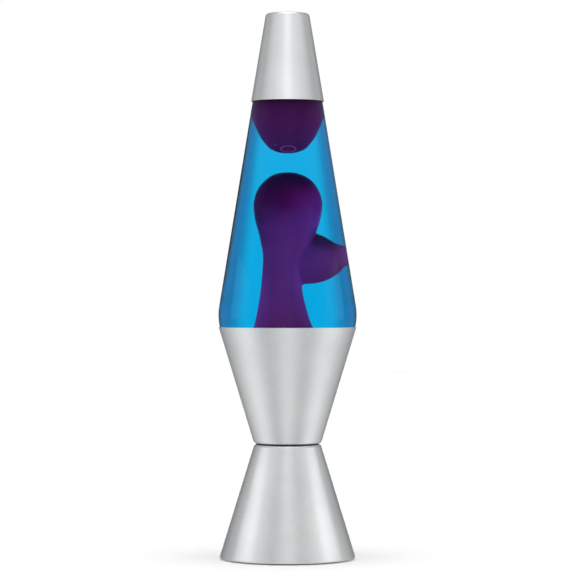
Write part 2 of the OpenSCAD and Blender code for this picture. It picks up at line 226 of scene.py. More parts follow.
# %% Panels
def panel(name, place, aim, width, height, brightness):
    """A soft rectangular light that faces a point."""
    data = bpy.data.lights.new(name, "AREA")
    data.shape = "RECTANGLE"
    data.size = width
    data.size_y = height
    data.energy = brightness * math.pi * width * height
    light = bpy.data.objects.new(name, data)
    light.location = place
    light.rotation_euler = (Vector(place) - Vector(aim)).to_track_quat("Z", "Y").to_euler()
    light.visible_camera = False
    light.visible_transmission = False
    bpy.context.scene.collection.objects.link(light)
    print("panel:", name, round(data.energy, 2), "W")


FOOT_MIDDLE = (0, 0, 0.04)
CAP_MIDDLE = (0, 0, 0.335)
panel("cap_panel", (0, -0.4, 0.50), CAP_MIDDLE, width=0.7, height=0.2, brightness=0.35)
panel("left_strip", (-0.5, -0.05, 0.2), FOOT_MIDDLE, width=0.36, height=0.2, brightness=0.52)
panel("right_strip", (0.5, -0.05, 0.2), FOOT_MIDDLE, width=0.36, height=0.2, brightness=0.56)

# %% [markdown]
# The floor is one large disc of white matt paper. It catches the lamp's contact shadow. The metal and the
# glass don't see it, and see the room's own lower half in its place, because a white floor this near
# would wash out the bands on the upper cone, which leans down to it.

# %% Floor
FLOOR_RADIUS = 4.0
FLOOR_SIDES = 96

disc = bmesh.new()
bmesh.ops.create_circle(disc, cap_ends=True, segments=FLOOR_SIDES, radius=FLOOR_RADIUS)
floor_mesh = bpy.data.meshes.new("floor")
disc.to_mesh(floor_mesh)
disc.free()
floor = bpy.data.objects.new("floor", floor_mesh)
bpy.context.scene.collection.objects.link(floor)
floor.visible_glossy = False
floor.visible_transmission = False

paper = bpy.data.materials.new("white_backdrop_paper")
paper.use_nodes = True
paper_shader = paper.node_tree.nodes["Principled BSDF"]
paper_shader.inputs["Base Color"].default_value = linear("#f7f7f6")
paper_shader.inputs["Roughness"].default_value = 0.9
paper_shader.inputs["Specular IOR Level"].default_value = 0.0
floor_mesh.materials.append(paper)
print("floor: disc of", FLOOR_RADIUS, "m")

# %% [markdown]
# ## Surfaces
# No real surface is one flat colour. Metal, plastic and rubber all drift a little between two close tones
# over some millimetres, and have a finer grain of pits that changes how dull and how bumpy they are. The
# grain also paints a little shade into the pits, and lightens the rises. One function builds that: two
# noise patterns in the part's own place, whose sizes are given in millimetres. An image texture would
# need a map of each part, and would be blurred or repeated close up.
# Nearly all of a noise lies in the middle of its range from 0 to 1, so the tones and the pits are spread
# over that middle.


# %% Surface helper
DRIFT_SPREAD = (0.35, 0.65)
PIT_SPREAD = (0.3, 0.7)
# Painted shade: the grain darkens the pits and lightens the rises by this share.
PAINTED_PIT_SHADE = 0.03


def surface(name, tones, metallic, roughness, swing, drift_mm, grain_mm, relief_mm, extra=None):
    """A material that drifts between two tones, with a grain of painted pit shade, roughness and relief."""
    made, tree, shader, place = new_material(name)
    drift = add(tree, "ShaderNodeTexNoise", {"Scale": 1 / (drift_mm * MM), "Detail": 3.0}, {"Vector": place})
    tone = add(tree, "ShaderNodeValToRGB", links={"Fac": drift.outputs["Fac"]},
               stops=list(zip(DRIFT_SPREAD, tones)))
    grain = add(tree, "ShaderNodeTexNoise", {"Scale": 1 / (grain_mm * MM), "Detail": 2.0}, {"Vector": place})
    pits = add(tree, "ShaderNodeMapRange",
               {"From Min": PIT_SPREAD[0], "From Max": PIT_SPREAD[1], "To Min": 1 - PAINTED_PIT_SHADE,
                "To Max": 1 + PAINTED_PIT_SHADE},
               {"Value": grain.outputs["Fac"]})
    shaded = add(tree, "ShaderNodeVectorMath", operation="SCALE",
                 links={0: tone.outputs["Color"], 3: pits.outputs["Result"]})
    dull = add(tree, "ShaderNodeMapRange", {"To Min": roughness - swing, "To Max": roughness + swing},
               {"Value": grain.outputs["Fac"]})
    relief = add(tree, "ShaderNodeBump", {"Distance": relief_mm * MM}, {"Height": grain.outputs["Fac"]})
    tree.links.new(shaded.outputs[0], shader.inputs["Base Color"])
    tree.links.new(dull.outputs["Result"], shader.inputs["Roughness"])
    tree.links.new(relief.outputs["Normal"], shader.inputs["Normal"])
    shader.inputs["Metallic"].default_value = metallic
    for socket, value in (extra or {}).items():
        shader.inputs[socket].default_value = value
    print("surface:", name)
    return made


# %% [markdown]
# Metals. The cones and the cap are spun from aluminium sheet, blasted with fine beads and lacquered,
# which gives a soft satin with a faint sparkle. The pits are about 0.2 mm across. They are drawn 0.8 mm
# across, because finer ones would not show at all. The steel parts are zinc plated, which is a little
# bluer and patchier. Brass is warm and has a browner bloom where fingers touched it. A metal keeps the
# shader's usual index of refraction. After the two tones, each line gives how metallic and how rough the
# surface is, how far the roughness swings, and in millimetres the size of the drift, the size of the
# grain, and the depth of the relief.

# %% Metals
blasted_aluminium = surface("blasted_aluminium", ("#edf1f2", "#f6f9f9"), 1.0, 0.31, 0.08, 30, 0.8, 0.038)
zinc_plated_steel = surface("zinc_plated_steel", ("#a9adb2", "#bfc3c6"), 1.0, 0.30, 0.08, 3, 0.3, 0.010)
galvanised_strap = surface("galvanised_strap", ("#a2a5a8", "#bcc0c4"), 1.0, 0.36, 0.12, 5, 0.6, 0.012)
stainless_spring_wire = surface("stainless_spring_wire", ("#9a9a98", "#b4b3b0"), 1.0, 0.22, 0.05, 2, 0.15,
                                0.004)
turned_brass = surface("turned_brass", ("#c79a4c", "#dab66c"), 1.0, 0.26, 0.06, 4, 0.2, 0.006)
rolled_brass = surface("rolled_brass_cap", ("#b79a63", "#d2b983"), 1.0, 0.30, 0.08, 5, 0.3, 0.008)
lacquered_tinplate = surface("lacquered_tinplate", ("#c9c6bb", "#d8d5ca"), 1.0, 0.24, 0.05, 6, 0.4, 0.006,
                             extra={"Coat Weight": 0.5, "Coat Roughness": 0.12})
soft_solder = surface("soft_solder", ("#9fa2a5", "#b7babd"), 1.0, 0.34, 0.08, 1.2, 0.3, 0.015)
nickel_iron_wire = surface("nickel_iron_wire", ("#8f8b82", "#a8a49b"), 1.0, 0.30, 0.05, 1, 0.1, 0.003)
tungsten_wire = surface("tungsten_wire", ("#5c5a58", "#77746f"), 1.0, 0.38, 0.05, 1, 0.08, 0.003)

# %% [markdown]
# The rest. The seam ring is black vulcanised fibre, dull and slightly mottled. The bottom cover is black
# ABS moulded against a sparked tool, so it has a fine even texture. Feet and grommet are rubber with a
# bloom that greys them. The lamp holder is glazed porcelain, glossy with a slow waviness. The insulation
# is smooth PVC, the crimps are natural nylon, the crown's liner is polythene and the bulb's insulator is
# black fused glass.

# %% Plastics, rubber and ceramic
vulcanised_fibre = surface("vulcanised_fibre", ("#131314", "#1e1e20"), 0.0, 0.62, 0.08, 3, 0.3, 0.020)
moulded_abs = surface("moulded_black_abs", ("#161617", "#1d1d1f"), 0.0, 0.52, 0.08, 12, 0.5, 0.030)
moulded_rubber = surface("moulded_rubber", ("#141414", "#222221"), 0.0, 0.72, 0.08, 4, 0.4, 0.020)
glazed_porcelain = surface("glazed_porcelain", ("#ebe6da", "#f4f0e6"), 0.0, 0.12, 0.04, 7, 2.5, 0.025,
                           extra={"Coat Weight": 0.6, "Coat Roughness": 0.04})
black_pvc = surface("black_pvc", ("#17171a", "#1f1f22"), 0.0, 0.34, 0.06, 5, 0.5, 0.008)
white_pvc = surface("white_pvc", ("#d9d8d2", "#e4e3de"), 0.0, 0.34, 0.06, 5, 0.5, 0.008)
natural_nylon = surface("natural_nylon", ("#d8d2bd", "#e4dfcd"), 0.0, 0.38, 0.06, 3, 0.6, 0.012,
                        extra={"Subsurface Weight": 0.2, "Subsurface Scale": 0.001})
polythene = surface("polythene_liner", ("#e2e1dc", "#ecebe7"), 0.0, 0.42, 0.05, 4, 0.5, 0.010)
black_vitrite = surface("black_vitrite", ("#0d0d10", "#17171c"), 0.0, 0.14, 0.05, 2, 0.6, 0.015)

# %% [markdown]
# Glass. It is clear soda-lime glass, index 1.52, blown into a mould, so its surface waves very slightly.
# The bulb is thin glass and its stem is pressed lead glass, which bends light a little more. A shine tint
# dims the reflections of the bottle, which black cards would do in a studio. After the tone come the
# index of refraction, and in millimetres how long and how deep the waves are.


# %% Glass helper and glasses
DIM_SHINE = (0.08, 0.08, 0.08, 1.0)
NO_SHINE = (0.0, 0.0, 0.0, 1.0)


def clear(name, tone, index, wave_mm, wave_depth_mm, extra=None):
    """A clear, polished material whose surface waves gently."""
    made, tree, shader, place = new_material(name)
    wave = add(tree, "ShaderNodeTexNoise", {"Scale": 1 / (wave_mm * MM), "Detail": 1.0}, {"Vector": place})
    relief = add(tree, "ShaderNodeBump", {"Distance": wave_depth_mm * MM}, {"Height": wave.outputs["Fac"]})
    tree.links.new(relief.outputs["Normal"], shader.inputs["Normal"])
    shader.inputs["Base Color"].default_value = linear(tone)
    shader.inputs["Roughness"].default_value = 0.0
    shader.inputs["IOR"].default_value = index
    shader.inputs["Transmission Weight"].default_value = 1.0
    for socket, value in (extra or {}).items():
        shader.inputs[socket].default_value = value
    print("clear:", name)
    return made


soda_lime_glass = clear("soda_lime_bottle_glass", "#fbfefe", 1.52, 30, 0.02, {"Specular Tint": DIM_SHINE})
bulb_envelope = clear("thin_bulb_glass", "#fdfdfd", 1.50, 14, 0.01)
lead_glass = clear("pressed_lead_glass", "#f6faf9", 1.56, 4, 0.05)

# %% [markdown]
# The liquid is dyed water. A dye takes out red much faster than blue, and it does so along the whole way
# that light travels, so most of the red goes in the volume. The rest of the tint sits on the surface,
# which keeps the narrow top of the bottle as blue as the wide bottom.

# %% Dyed water
WATER_INDEX = 1.34
RED_LOST_PER_METRE = 50

dyed_water = clear("dyed_water", "#61b7e7", WATER_INDEX, 60, 0.01, {"Specular Tint": NO_SHINE})
water_tree = dyed_water.node_tree
volume = add(water_tree, "ShaderNodeVolumeAbsorption",
             {"Color": linear("#00fafe"), "Density": RED_LOST_PER_METRE})
water_tree.links.new(volume.outputs["Volume"], water_tree.nodes["Material Output"].inputs["Volume"])
print("liquid: index", WATER_INDEX)

# %% [markdown]
# The wax is crimson paraffin. Through the blue liquid it looks purple. Its tone follows its height, stirred
# by a slow cloudiness; part of that is painted light from the bulb below, which leaves the head darker
# than the lower column. It turns violet where it touches the bottle's wall, because too little liquid is
# left there to do that.

# %% Wax tones
WAX_LOW = 0.150
WAX_HIGH = 0.290
# Height tones, low to high: partly the wax's own colour, partly painted light that is lighter low down.
HEIGHT_TONES = (
    (0.00, "#f32f6c"), (0.14, "#f3327a"), (0.38, "#f33d8c"), (0.52, "#f33a9a"),
    (0.66, "#e20962"), (0.78, "#e00560"), (0.90, "#e42b73"),
)
WALL_WAX = "#b83cc8"
WALL_BAND = (0.028, 0.040)
CLOUD_MM = 22
CLOUD_STIR = 0.016


def wax_level(tree, place):
    """The height in the wax, in metres, stirred by the cloudiness."""
    axes = add(tree, "ShaderNodeSeparateXYZ", links={"Vector": place})
    cloud = add(tree, "ShaderNodeTexNoise", {"Scale": 1 / (CLOUD_MM * MM), "Detail": 2.0}, {"Vector": place})
    stir = add(tree, "ShaderNodeMapRange", {"To Min": -CLOUD_STIR, "To Max": CLOUD_STIR},
               {"Value": cloud.outputs["Fac"]})
    level = add(tree, "ShaderNodeMath", operation="ADD",
                links={0: axes.outputs["Z"], 1: stir.outputs["Result"]})
    return level.outputs[0]


def wax_tone(tree, level, out):
    """The wax's colour, from its level (partly painted light) and its distance from the axis."""
    rise = add(tree, "ShaderNodeMapRange", {"From Min": WAX_LOW, "From Max": WAX_HIGH}, {"Value": level})
    tone = add(tree, "ShaderNodeValToRGB", links={"Fac": rise.outputs["Result"]}, stops=HEIGHT_TONES)
    touch = add(tree, "ShaderNodeMapRange", {"From Min": WALL_BAND[0], "From Max": WALL_BAND[1]},
                {"Value": out})
    mixed = add(tree, "ShaderNodeMix", {B_VECTOR: linear(WALL_WAX)[:3]}, data_type="VECTOR",
                links={0: touch.outputs["Result"], A_VECTOR: tone.outputs["Color"]})
    return mixed.outputs[OUT_VECTOR]


# %% [markdown]
# Light and shade are painted into the wax's colour and glow. The bulb's light is painted in from below, so
# the wax is lightest where it faces down, and deepest on the upper side of the rising head. The arm's root
# lies in a nook under the head, whose painted shade is darker still. Painted light from the backdrop comes
# round the left and right flanks. Between the neck and the head, the column is also painted lighter on its
# right side. All of this depends on the wax's shape and not on where the camera stands.

# %% Painted light on the wax
# Heights where the column is painted lighter on its right side.
ONE_SIDED_FROM = (0.175, 0.225)
ONE_SIDED_TO = (0.234, 0.256)
SHADE_RANGE = (-0.75, 0.25)
DEEPEST_SHADE = 0.38
# Centre of the nook's painted shade, in millimetres.
NOOK = Vector((19.5, -2.0, 215.0))
NOOK_SIZE = (0.004, 0.012)
NOOK_SHADE = 0.42
FLANK_FROM = 0.5
FLANK_LIGHT = 1.45


def painted_wax_light(tree, place, level, one_sided):
    """Painted light on the wax: the shade of the upper side and the nook, times the flanks' light."""
    facing = add(tree, "ShaderNodeNewGeometry")
    slopes = add(tree, "ShaderNodeSeparateXYZ", links={"Vector": facing.outputs["Normal"]})
    above = add(tree, "ShaderNodeMapRange",
                {"From Min": ONE_SIDED_FROM[0], "From Max": ONE_SIDED_FROM[1], "To Max": one_sided},
                {"Value": level})
    below = add(tree, "ShaderNodeMapRange", {"From Min": ONE_SIDED_TO[1], "From Max": ONE_SIDED_TO[0]},
                {"Value": level})
    band = add(tree, "ShaderNodeMath", operation="MULTIPLY",
               links={0: above.outputs["Result"], 1: below.outputs["Result"]})
    aside = add(tree, "ShaderNodeMath", operation="MULTIPLY",
                links={0: slopes.outputs["X"], 1: band.outputs[0]})
    lean = add(tree, "ShaderNodeMath", operation="SUBTRACT",
               links={0: aside.outputs[0], 1: slopes.outputs["Z"]})
    upper = add(tree, "ShaderNodeMapRange",
                {"From Min": SHADE_RANGE[0], "From Max": SHADE_RANGE[1], "To Min": DEEPEST_SHADE},
                {"Value": lean.outputs[0]}, interpolation_type="SMOOTHSTEP")
    away = add(tree, "ShaderNodeVectorMath", {1: NOOK * MM}, {0: place}, operation="DISTANCE")
    nook = add(tree, "ShaderNodeMapRange",
               {"From Min": NOOK_SIZE[0], "From Max": NOOK_SIZE[1], "To Min": NOOK_SHADE},
               {"Value": away.outputs["Value"]}, interpolation_type="SMOOTHSTEP")
    shade = add(tree, "ShaderNodeMath", operation="MULTIPLY",
                links={0: upper.outputs["Result"], 1: nook.outputs["Result"]})
    sideways = add(tree, "ShaderNodeMath", operation="ABSOLUTE", links={0: slopes.outputs["X"]})
    flank = add(tree, "ShaderNodeMapRange", {"From Min": FLANK_FROM, "To Min": 1.0, "To Max": FLANK_LIGHT},
                {"Value": sideways.outputs[0]})
    lit = add(tree, "ShaderNodeMath", operation="MULTIPLY",
              links={0: shade.outputs[0], 1: flank.outputs["Result"]})
    return lit.outputs[0]


# %% [markdown]
# The bulb's light inside the wax is painted in as a glow in its lower middle. The glow has to be in the
# material, because the liquid takes out nearly all red that goes through it twice. A ring where a neck
# pinched off gets a painted highlight: it is paler, and glows a little more. In water the wax has almost
# no shine, because both have nearly the same index of refraction.

# %% Wax
CORE_BAND = (0.012, 0.044)
GLOW_COLOUR = "#ff2050"
# Painted highlight on the scar's ring and the fleck: a paler colour and more glow.
RING_HIGHLIGHT_COLOUR = "#ff5ca8"
RING_HIGHLIGHT_GLOW = 0.8
RING_EDGE = (0.0002, 0.0006)
SQUASH = (1.0, 1.0, 1.6)
STREAK_MM = 5
STREAK_DEPTH_MM = 0.2
WAX_ROUGHNESS = 0.3
WAX_IN_WATER_INDEX = 1.08


def ring_highlighted(tree, place, colour, glow, centre, radius):
    """The colour and the glow, with a squashed ring of painted highlight added."""
    away = add(tree, "ShaderNodeVectorMath", {1: centre * MM}, {0: place}, operation="SUBTRACT")
    squashed = add(tree, "ShaderNodeVectorMath", {1: SQUASH}, {0: away.outputs[0]}, operation="MULTIPLY")
    size = add(tree, "ShaderNodeVectorMath", links={0: squashed.outputs[0]}, operation="LENGTH")
    across = add(tree, "ShaderNodeMath", {1: radius * MM}, {0: size.outputs["Value"]}, operation="SUBTRACT")
    off = add(tree, "ShaderNodeMath", links={0: across.outputs[0]}, operation="ABSOLUTE")
    line = add(tree, "ShaderNodeMapRange", {"From Min": RING_EDGE[1], "From Max": RING_EDGE[0]},
               {"Value": off.outputs[0]})
    ring = add(tree, "ShaderNodeMix", {B_VECTOR: linear(RING_HIGHLIGHT_COLOUR)[:3]}, data_type="VECTOR",
               links={0: line.outputs["Result"], A_VECTOR: colour})
    more = add(tree, "ShaderNodeMath", {1: RING_HIGHLIGHT_GLOW}, {0: line.outputs["Result"]}, operation="MULTIPLY")
    brighter = add(tree, "ShaderNodeMath", operation="ADD", links={0: glow, 1: more.outputs[0]})
    return ring.outputs[OUT_VECTOR], brighter.outputs[0]


def molten_wax(name, glow_low, glow_high, most_glow, one_sided, rings=()):
    """Crimson wax in painted light from below; its painted glow fades from most_glow to nothing between the
    heights.

    rings are the (centre, radius), in millimetres, of rings painted with a highlight.
    """
    made, tree, shader, place = new_material(name)
    level = wax_level(tree, place)
    flat = add(tree, "ShaderNodeVectorMath", {1: (1.0, 1.0, 0.0)}, {0: place}, operation="MULTIPLY")
    out = add(tree, "ShaderNodeVectorMath", links={0: flat.outputs[0]}, operation="LENGTH").outputs["Value"]
    lit = painted_wax_light(tree, place, level, one_sided)
    shaded = add(tree, "ShaderNodeVectorMath", links={0: wax_tone(tree, level, out), 3: lit},
                 operation="SCALE")
    # Painted glow: the bulb's light in the lower middle of the wax.
    core = add(tree, "ShaderNodeMapRange", {"From Min": CORE_BAND[1], "From Max": CORE_BAND[0]},
               {"Value": out})
    warm = add(tree, "ShaderNodeMapRange", {"From Min": glow_high, "From Max": glow_low, "To Max": most_glow},
               {"Value": level})
    inner = add(tree, "ShaderNodeMath", operation="MULTIPLY",
                links={0: warm.outputs["Result"], 1: core.outputs["Result"]})
    glow = add(tree, "ShaderNodeMath", operation="MULTIPLY", links={0: inner.outputs[0], 1: lit}).outputs[0]
    colour = shaded.outputs[0]
    for centre, radius in rings:
        colour, glow = ring_highlighted(tree, place, colour, glow, centre, radius)

    streak = add(tree, "ShaderNodeTexNoise", {"Scale": 1 / (STREAK_MM * MM), "Detail": 1.0},
                 {"Vector": place})
    relief = add(tree, "ShaderNodeBump", {"Distance": STREAK_DEPTH_MM * MM},
                 {"Height": streak.outputs["Fac"]})
    tree.links.new(colour, shader.inputs["Base Color"])
    tree.links.new(relief.outputs["Normal"], shader.inputs["Normal"])
    tree.links.new(glow, shader.inputs["Emission Strength"])
    shader.inputs["Emission Color"].default_value = linear(GLOW_COLOUR)
    shader.inputs["Roughness"].default_value = WAX_ROUGHNESS
    shader.inputs["IOR"].default_value = WAX_IN_WATER_INDEX
    print("wax:", name)
    return made


rising_wax = molten_wax("molten_paraffin_wax", glow_low=0.150, glow_high=0.251, most_glow=1.28, one_sided=0.8)

# %% [markdown]
# ## Parts whose solids are already right
# The small turned and pressed parts come from the frame as they are, and only need their surface. The
# clear parts of the bulb cast no shadow, so that light reaches what they hold.


# %% Surfaces on the frame's parts
def dress(material, *names):
    """Gives these frame parts a surface."""
    for name in names:
        nodes[name].material_slots[0].material = material
    print("dressed:", ", ".join(names), "in", material.name)


dress(vulcanised_fibre, "waist_ring")
dress(zinc_plated_steel, "waist_screws", "waist_nuts", "nipple_washer")
dress(galvanised_strap, "socket_bracket")
dress(moulded_abs, "bottom_cover")
dress(moulded_rubber, "rubber_feet", "cord_grommet")
dress(turned_brass, "socket_nipple", "nipple_nut", "socket_centre_contact", "contact_rivet")
dress(glazed_porcelain, "socket_body")
dress(natural_nylon, "crimp_connectors")
dress(polythene, "crown_liner")
dress(soft_solder, "bulb_contact_tip")
dress(black_vitrite, "bulb_insulator")
dress(lead_glass, "bulb_stem")
dress(bulb_envelope, "bulb_glass")
dress(nickel_iron_wire, "bulb_lead_wires")
for name in ("bulb_glass", "bulb_stem"):
    nodes[name].visible_shadow = False

# %% [markdown]
# ## Turned shapes
# Almost everything here was spun, blown or turned, so its mesh is an outline swept round the axis. An
# outline is a short list of corners, (radius, height) in millimetres, some with a rounding. A wall of
# even thickness is an outline and the same outline moved inwards. A screw modifier could sweep it too,
# but a bare loop also lets a thread or a crimped skirt swell and shrink as it goes round.


# %% Outline helpers
ARC_STEP = math.radians(5)
FEWEST_ARC_STEPS = 3


def rounded(corners):
    """A path through (radius, height) corners, with an arc at each that has a third number, its rounding."""
    path = [Vector(corners[0][:2])]
    for before, here, after in zip(corners, corners[1:], corners[2:]):
        corner = Vector(here[:2])
        if len(here) < 3:
            path.append(corner)
            continue
        back = (Vector(before[:2]) - corner).normalized()
        onward = (Vector(after[:2]) - corner).normalized()
        half = back.angle(onward) / 2
        centre = corner + (back + onward).normalized() * here[2] / math.sin(half)
        start = corner + back * here[2] / math.tan(half) - centre
        sweep = math.copysign(math.pi - 2 * half, onward.cross(back))
        steps = max(FEWEST_ARC_STEPS, math.ceil(abs(sweep) / ARC_STEP))
        for i in range(steps + 1):
            path.append(centre + Matrix.Rotation(sweep * i / steps, 2) @ start)
    path.append(Vector(corners[-1][:2]))
    return path


def beside(path, gap):
    """The same path moved to its left by a gap."""
    moved = []
    for i, point in enumerate(path):
        before = (point - path[i - 1]).normalized() if i else None
        after = (path[i + 1] - point).normalized() if i + 1 < len(path) else None
        before, after = before or after, after or before
        left = Vector((-before.y - after.y, before.x + after.x)).normalized()
        moved.append(point + left * gap / left.dot(Vector((-before.y, before.x))))
    return moved


def wall(path, thickness):
    """The closed outline of a sheet or glass wall."""
    return path + beside(path, thickness)[::-1]


# %% Mesh helpers
ON_AXIS = 1e-6
SHARP = math.radians(38)


def spun(outline, steps=192, swell=None):
    """A closed mesh: an outline in millimetres swept round the axis.

    swell(radius, height, angle) gives a new radius. A point on the axis gives one vertex and not a ring.
    """
    bm = bmesh.new()
    rings = []
    for radius, height in outline:
        ring = []
        for i in range(steps if radius > ON_AXIS else 1):
            angle = math.tau * i / steps
            r = swell(radius, height, angle) if swell else radius
            ring.append(bm.verts.new((r * math.cos(angle) * MM, r * math.sin(angle) * MM, height * MM)))
        rings.append(ring)
    for ring, after in zip(rings, rings[1:] + rings[:1]):
        for i in range(steps):
            j = (i + 1) % steps
            corners = [ring[i % len(ring)], ring[j % len(ring)], after[j % len(after)], after[i % len(after)]]
            corners = list(dict.fromkeys(corners))
            if len(corners) > 2:
                bm.faces.new(corners)
    return bm


def drawn(points, radius, closed=False):
    """A closed mesh: round wire along points, in millimetres."""
    curve = bpy.data.curves.new("route", "CURVE")
    curve.dimensions = "3D"
    curve.bevel_depth = radius * MM
    curve.bevel_resolution = 3
    curve.use_fill_caps = True
    spline = curve.splines.new("POLY")
    spline.points.add(len(points) - 1)
    spline.use_cyclic_u = closed
    for place, point in zip(spline.points, points):
        place.co = (*(Vector(point) * MM), 1.0)
    route = bpy.data.objects.new("route", curve)
    bpy.context.scene.collection.objects.link(route)
    bm = bmesh.new()
    mesh = bpy.data.meshes.new_from_object(route.evaluated_get(bpy.context.evaluated_depsgraph_get()))
    bm.from_mesh(mesh)
    bpy.data.meshes.remove(mesh)
    bpy.data.objects.remove(route)
    bpy.data.curves.remove(curve)
    return bm


def piece(name, bm, material, body, slot, *stands_for):
    """Makes one piece of the lamp from a mesh, soft but for its sharp edges, and sets it on its body."""
    bmesh.ops.recalc_face_normals(bm, faces=bm.faces)
    for face in bm.faces:
        face.smooth = True
    for edge in bm.edges:
        edge.smooth = edge.calc_face_angle(0.0) < SHARP
    mesh = bpy.data.meshes.new(name)
    bm.to_mesh(mesh)
    bm.free()
    mesh.materials.append(material)
    made = bpy.data.objects.new(name, mesh)
    bpy.context.scene.collection.objects.link(made)
    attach(made, body)
    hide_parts(*stands_for)
    print("piece:", name, len(mesh.polygons), "faces")
    return made


def low(node):
    """A frame part's lowest point, in millimetres."""
    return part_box(node)[0].z / MM


def top(node):
    """A frame part's highest point, in millimetres."""
    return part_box(node)[1].z / MM


def reach(node):
    """A frame part's radius, in millimetres."""
    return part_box(node)[1].x / MM


# %% [markdown]
# ## The base: two spun cones
# Each cone is a disc of 0.5 mm aluminium, pressed over a turning wooden chuck with a roller. The foot
# cone's lower edge is turned in to hold the cover, and its narrow end is left as a flat flange. The cup
# is the same the other way up. Both flanges are screwed together, with a black fibre ring between them,
# set in from their edges. The ring's black and the shade in that gap make a dark line at the waist.

# %% Foot and cup
SHEET = 0.5
FLANGE_HOLE = 15.0
FOOT_RADIUS = 46.0
HEM_ROUNDING = 0.9
WAIST_ROUNDING = 2.0
RIM_RADIUS = 46.5
RIM_HEIGHT = 156.5
CONE_STEPS = 256
HEM_TURNED_IN = 1.2
WAIST_PAST_RING = 1.5
FOOT_SLIMMER = 0.3
hem = reach("bottom_cover") - HEM_TURNED_IN
waist = reach("waist_ring") + WAIST_PAST_RING

foot_outline = rounded([
    (hem, low("foot_shell")), (FOOT_RADIUS, low("foot_shell"), HEM_ROUNDING),
    (waist - FOOT_SLIMMER, top("foot_shell"), WAIST_ROUNDING), (FLANGE_HOLE, top("foot_shell")),
])
foot_mesh = spun(wall(foot_outline, SHEET), CONE_STEPS)
piece("foot_cone", foot_mesh, blasted_aluminium, "base", "spun_aluminium", "foot_shell")

cup_outline = rounded([
    (FLANGE_HOLE, low("cup_shell")), (waist, low("cup_shell"), WAIST_ROUNDING), (RIM_RADIUS, RIM_HEIGHT),
])
cup_mesh = spun(wall(cup_outline, SHEET), CONE_STEPS)
piece("cup_cone", cup_mesh, blasted_aluminium, "base", "spun_aluminium", "cup_shell")

# %% [markdown]
# ## The cap
# The cap is spun from the same sheet, with a softly rounded top edge. It is only put over the neck.

# %% Cap
MOUTH_HEIGHT = 308.9
CAP_TOP_RADIUS = 14.6
CAP_ROUNDING = 2.4

cap_outline = rounded([
    (reach("top_cap"), MOUTH_HEIGHT), (CAP_TOP_RADIUS, top("top_cap"), CAP_ROUNDING), (0, top("top_cap")),
])
cap_mesh = spun(wall(cap_outline, SHEET), CONE_STEPS)
piece("cap_cone", cap_mesh, blasted_aluminium, "cap", "spun_aluminium", "top_cap")

# %% [markdown]
# ## The globe
# The bottle is blown, with a pushed-up bottom, a round heel that seats in the cup, a belly, a long taper,
# a shoulder and a crown finish at the lip. Its wall is 3 mm thick. The water's mesh reaches 0.05 mm into
# the glass. If there were a gap instead, light would bounce off it inside the glass, and the edges would
# look like mirrors. The water ends in a meniscus, which climbs a little at the wall. Both cast no shadow:
# light then reaches the wax straight from the room, where following each bent ray would leave it full of
# noise.

# %% Bottle and water
GLASS = 3.0
OVERLAP = 0.05
CLIMB = 0.5
MENISCUS = 1.0
DISH = 0.2
NECK = 12.4
heel = low("globe_glass")
lip = top("globe_glass")

BODY_CORNERS = [
    (0, heel + 5),
    (13, heel + 5, 16),  # the pushed-up bottom
    (27, heel, 7),  # where the bottle stands
    (38.3, heel, 11.4),  # the round heel
    (48.28, heel + 17.35, 36),  # the belly
    (21.1, 324, 7),  # the shoulder
    (NECK, 331, 5),
]
LIP_CORNERS = [(NECK, lip - 3.4), (13.1, lip - 3.2), (13.1, lip, 0.6), (NECK - GLASS, lip)]
without_lip = rounded([*BODY_CORNERS, (NECK, lip)])
inner_wall = beside(without_lip, GLASS)
bottle_mesh = spun(rounded(BODY_CORNERS + LIP_CORNERS) + inner_wall[::-1])
bottle = piece("blown_bottle", bottle_mesh, soda_lime_glass, "globe", "bottle_glass", "globe_glass")
bottle.visible_shadow = False

surface_z = top("liquid")
bath = [point for point in beside(without_lip, GLASS - OVERLAP) if point.y < surface_z - CLIMB]
edge = bath[-1].x
meniscus = [
    Vector((edge - DISH, surface_z + CLIMB)), Vector((edge - MENISCUS, surface_z)),
    Vector((0, surface_z - DISH)),
]
water = piece("dyed_water", spun(bath + meniscus), dyed_water, "globe", "blue_liquid", "liquid")
water.visible_shadow = False

# %% [markdown]
# ## The wax
# Warm wax rises as a column from the pool at the bottom, swells into a round head, and sends an arm to
# the wall. Some has cooled under the cap as a dome. The column and its arm are lofts through a few round
# stations, (x, y, z, radius), with smooth ones worked out between them. They are then melted into one
# skin by a voxel remesh and smoothed. A simulation of the flow would be slow, and could not be told which
# shape to end on. Water and glass widen what is in them by about a third, so the true shapes are that
# much slimmer than they look.


# %% Wax helpers
LEAST_RADIUS = 0.05


def flowing(stations, between=6):
    """The stations, with smooth ones added between them."""
    points = [Vector(s) for s in (stations[0], *stations, stations[-1])]
    path = []
    for a, b, c, d in zip(points, points[1:], points[2:], points[3:]):
        for i in range(between):
            t = i / between
            way = (c - a) * t + (2 * a - 5 * b + 4 * c - d) * t**2 + (3 * b - a - 3 * c + d) * t**3
            path.append(b + way / 2)
    return path + [points[-1]]


def lofted(bm, stations, depth=1.0, steps=64):
    """Adds a closed loft through the stations' rings, each square to the way the stations run.

    depth makes the rings flatter from front to back.
    """
    path = flowing(stations)
    rings = []
    for i, station in enumerate(path):
        onward = path[min(i + 1, len(path) - 1)].to_3d() - path[max(i - 1, 0)].to_3d()
        turn = Vector((0, 0, 1)).rotation_difference(onward)
        ring = []
        for j in range(steps):
            angle = math.tau * j / steps
            spoke = turn @ Vector((math.cos(angle), math.sin(angle), 0)) * max(station[3], LEAST_RADIUS)
            spoke.y *= depth
            ring.append(bm.verts.new((station.to_3d() + spoke) * MM))
        rings.append(ring)
    for ring, after in zip(rings, rings[1:]):
        for j in range(steps):
            k = (j + 1) % steps
            bm.faces.new((ring[j], ring[k], after[k], after[j]))
    bm.faces.new(rings[0][::-1])
    bm.faces.new(rings[-1])


